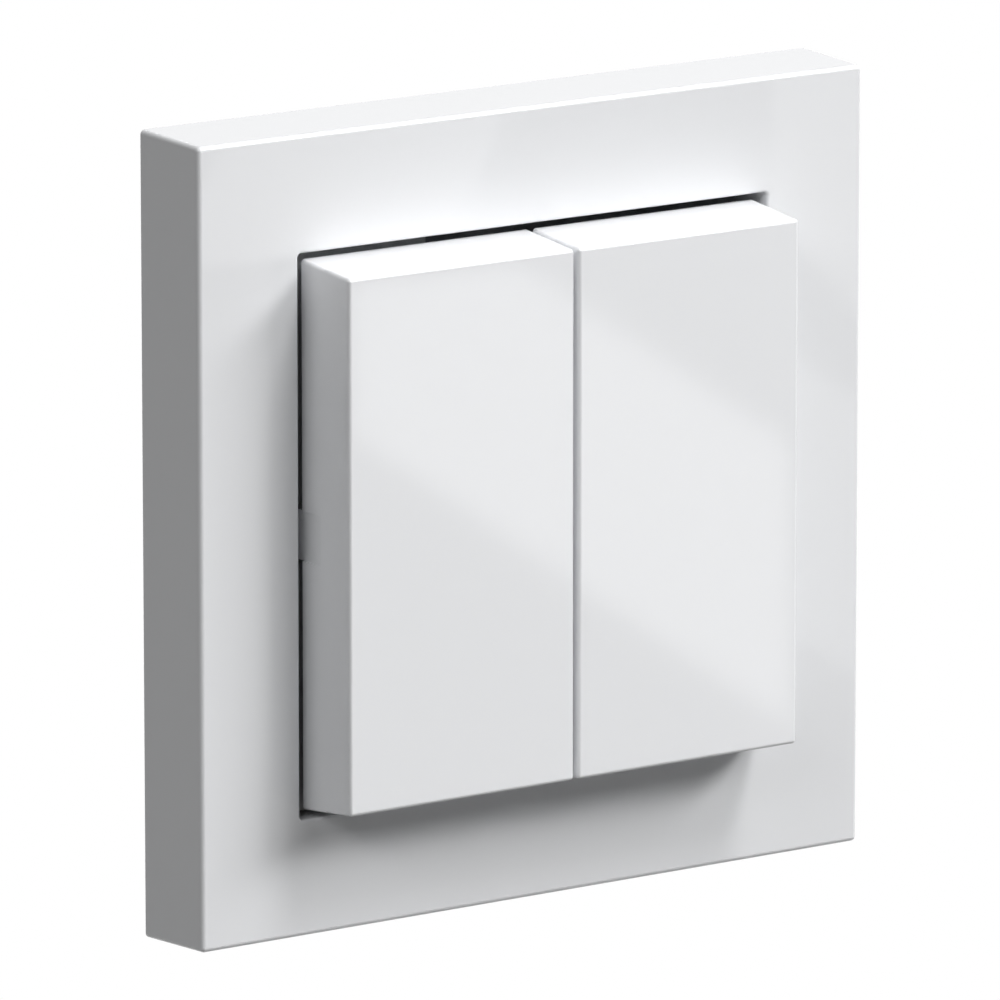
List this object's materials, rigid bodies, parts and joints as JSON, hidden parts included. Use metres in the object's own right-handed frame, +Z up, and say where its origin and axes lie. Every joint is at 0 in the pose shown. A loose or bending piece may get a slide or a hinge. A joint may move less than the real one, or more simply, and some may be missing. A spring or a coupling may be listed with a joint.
{
  "type": "wireless wall switch",
  "caption": "Surface-mounted wireless wall switch: square glossy cover frame with two tall rockers hinged at mid-height, radio module and mounting plate behind.",
  "frame": {"origin": "centre of the wall face, the flat rear edge of the cover frame", "axes": "+Z up, +Y into the wall, the rockers face -Y, +X to the right as seen from the front"},
  "size_m": [0.0804, 0.0165, 0.0808],
  "materials": {
    "frame_white": "glossy",
    "rocker_white": "glossy",
    "plate_grey": "fine grain",
    "foam_tape": "foam",
    "case_grey": "fine grain",
    "cover_grey": "fine grain",
    "screw_steel": "zinc plated",
    "cell_steel": "satin",
    "holder_black": "matt",
    "contact_plated": "nickel plated",
    "board_green": "solder mask",
    "chip_black": "moulded",
    "crystal_can": "satin",
    "component_ceramic": "ceramic",
    "aerial_copper": "enamelled",
    "silicone": "translucent matt",
    "pill_carbon": "conductive",
    "plunger_white": "satin"
  },
  "bodies": {
    "base": {"cover_frame": "frame_white", "mounting_plate": "plate_grey", "adhesive_pads": "foam_tape", "module_front_case": "case_grey", "module_rear_cover": "cover_grey", "case_screws": "screw_steel", "coin_cell": "cell_steel", "battery_holder": "holder_black", "battery_plus_contact": "contact_plated", "battery_minus_contact": "contact_plated", "circuit_board": "board_green", "radio_chip": "chip_black", "crystal": "crystal_can", "chip_components": "component_ceramic", "antenna_wire": "aerial_copper", "left_contact_mat": "silicone", "right_contact_mat": "silicone"},
    "left_rocker": {"left_rocker": "rocker_white"},
    "right_rocker": {"right_rocker": "rocker_white"},
    "battery_cover": {"battery_cover": "cover_grey"},
    "left_upper_plunger": {"left_upper_plunger": "plunger_white", "left_upper_contact_pill": "pill_carbon"},
    "left_lower_plunger": {"left_lower_plunger": "plunger_white", "left_lower_contact_pill": "pill_carbon"},
    "right_upper_plunger": {"right_upper_plunger": "plunger_white", "right_upper_contact_pill": "pill_carbon"},
    "right_lower_plunger": {"right_lower_plunger": "plunger_white", "right_lower_contact_pill": "pill_carbon"}
  },
  "joints": [
    {"name": "left_rocker_tilt", "type": "hinge", "parent": "base", "child": "left_rocker", "pos_m": [-0.0136, -0.009, 0], "axis": [1, 0, 0], "range_deg": [-2.5, 2.5], "stiffness_Nm_per_rad": 1, "deforming": ["left_contact_mat"]},
    {"name": "left_upper_plunger_travel", "type": "slide", "parent": "base", "child": "left_upper_plunger", "axis": [0, 1, 0], "range_m": [-0.00075, 0.00075]},
    {"name": "left_lower_plunger_travel", "type": "slide", "parent": "base", "child": "left_lower_plunger", "axis": [0, 1, 0], "range_m": [-0.00075, 0.00075]},
    {"name": "right_rocker_tilt", "type": "hinge", "parent": "base", "child": "right_rocker", "pos_m": [0.0136, -0.009, 0], "axis": [1, 0, 0], "range_deg": [-2.5, 2.5], "stiffness_Nm_per_rad": 1, "deforming": ["right_contact_mat"]},
    {"name": "right_upper_plunger_travel", "type": "slide", "parent": "base", "child": "right_upper_plunger", "axis": [0, 1, 0], "range_m": [-0.00075, 0.00075]},
    {"name": "right_lower_plunger_travel", "type": "slide", "parent": "base", "child": "right_lower_plunger", "axis": [0, 1, 0], "range_m": [-0.00075, 0.00075]},
    {"name": "battery_cover_turn", "type": "hinge", "parent": "base", "child": "battery_cover", "pos_m": [0, -0.001, -0.008], "axis": [0, 1, 0], "range_deg": [0, 45]}
  ],
  "couplings": [
    {"joint": "left_upper_plunger_travel", "follows": "left_rocker_tilt", "m_per_rad": -0.017},
    {"joint": "left_lower_plunger_travel", "follows": "left_rocker_tilt", "m_per_rad": 0.017},
    {"joint": "right_upper_plunger_travel", "follows": "right_rocker_tilt", "m_per_rad": -0.017},
    {"joint": "right_lower_plunger_travel", "follows": "right_rocker_tilt", "m_per_rad": 0.017}
  ]
}
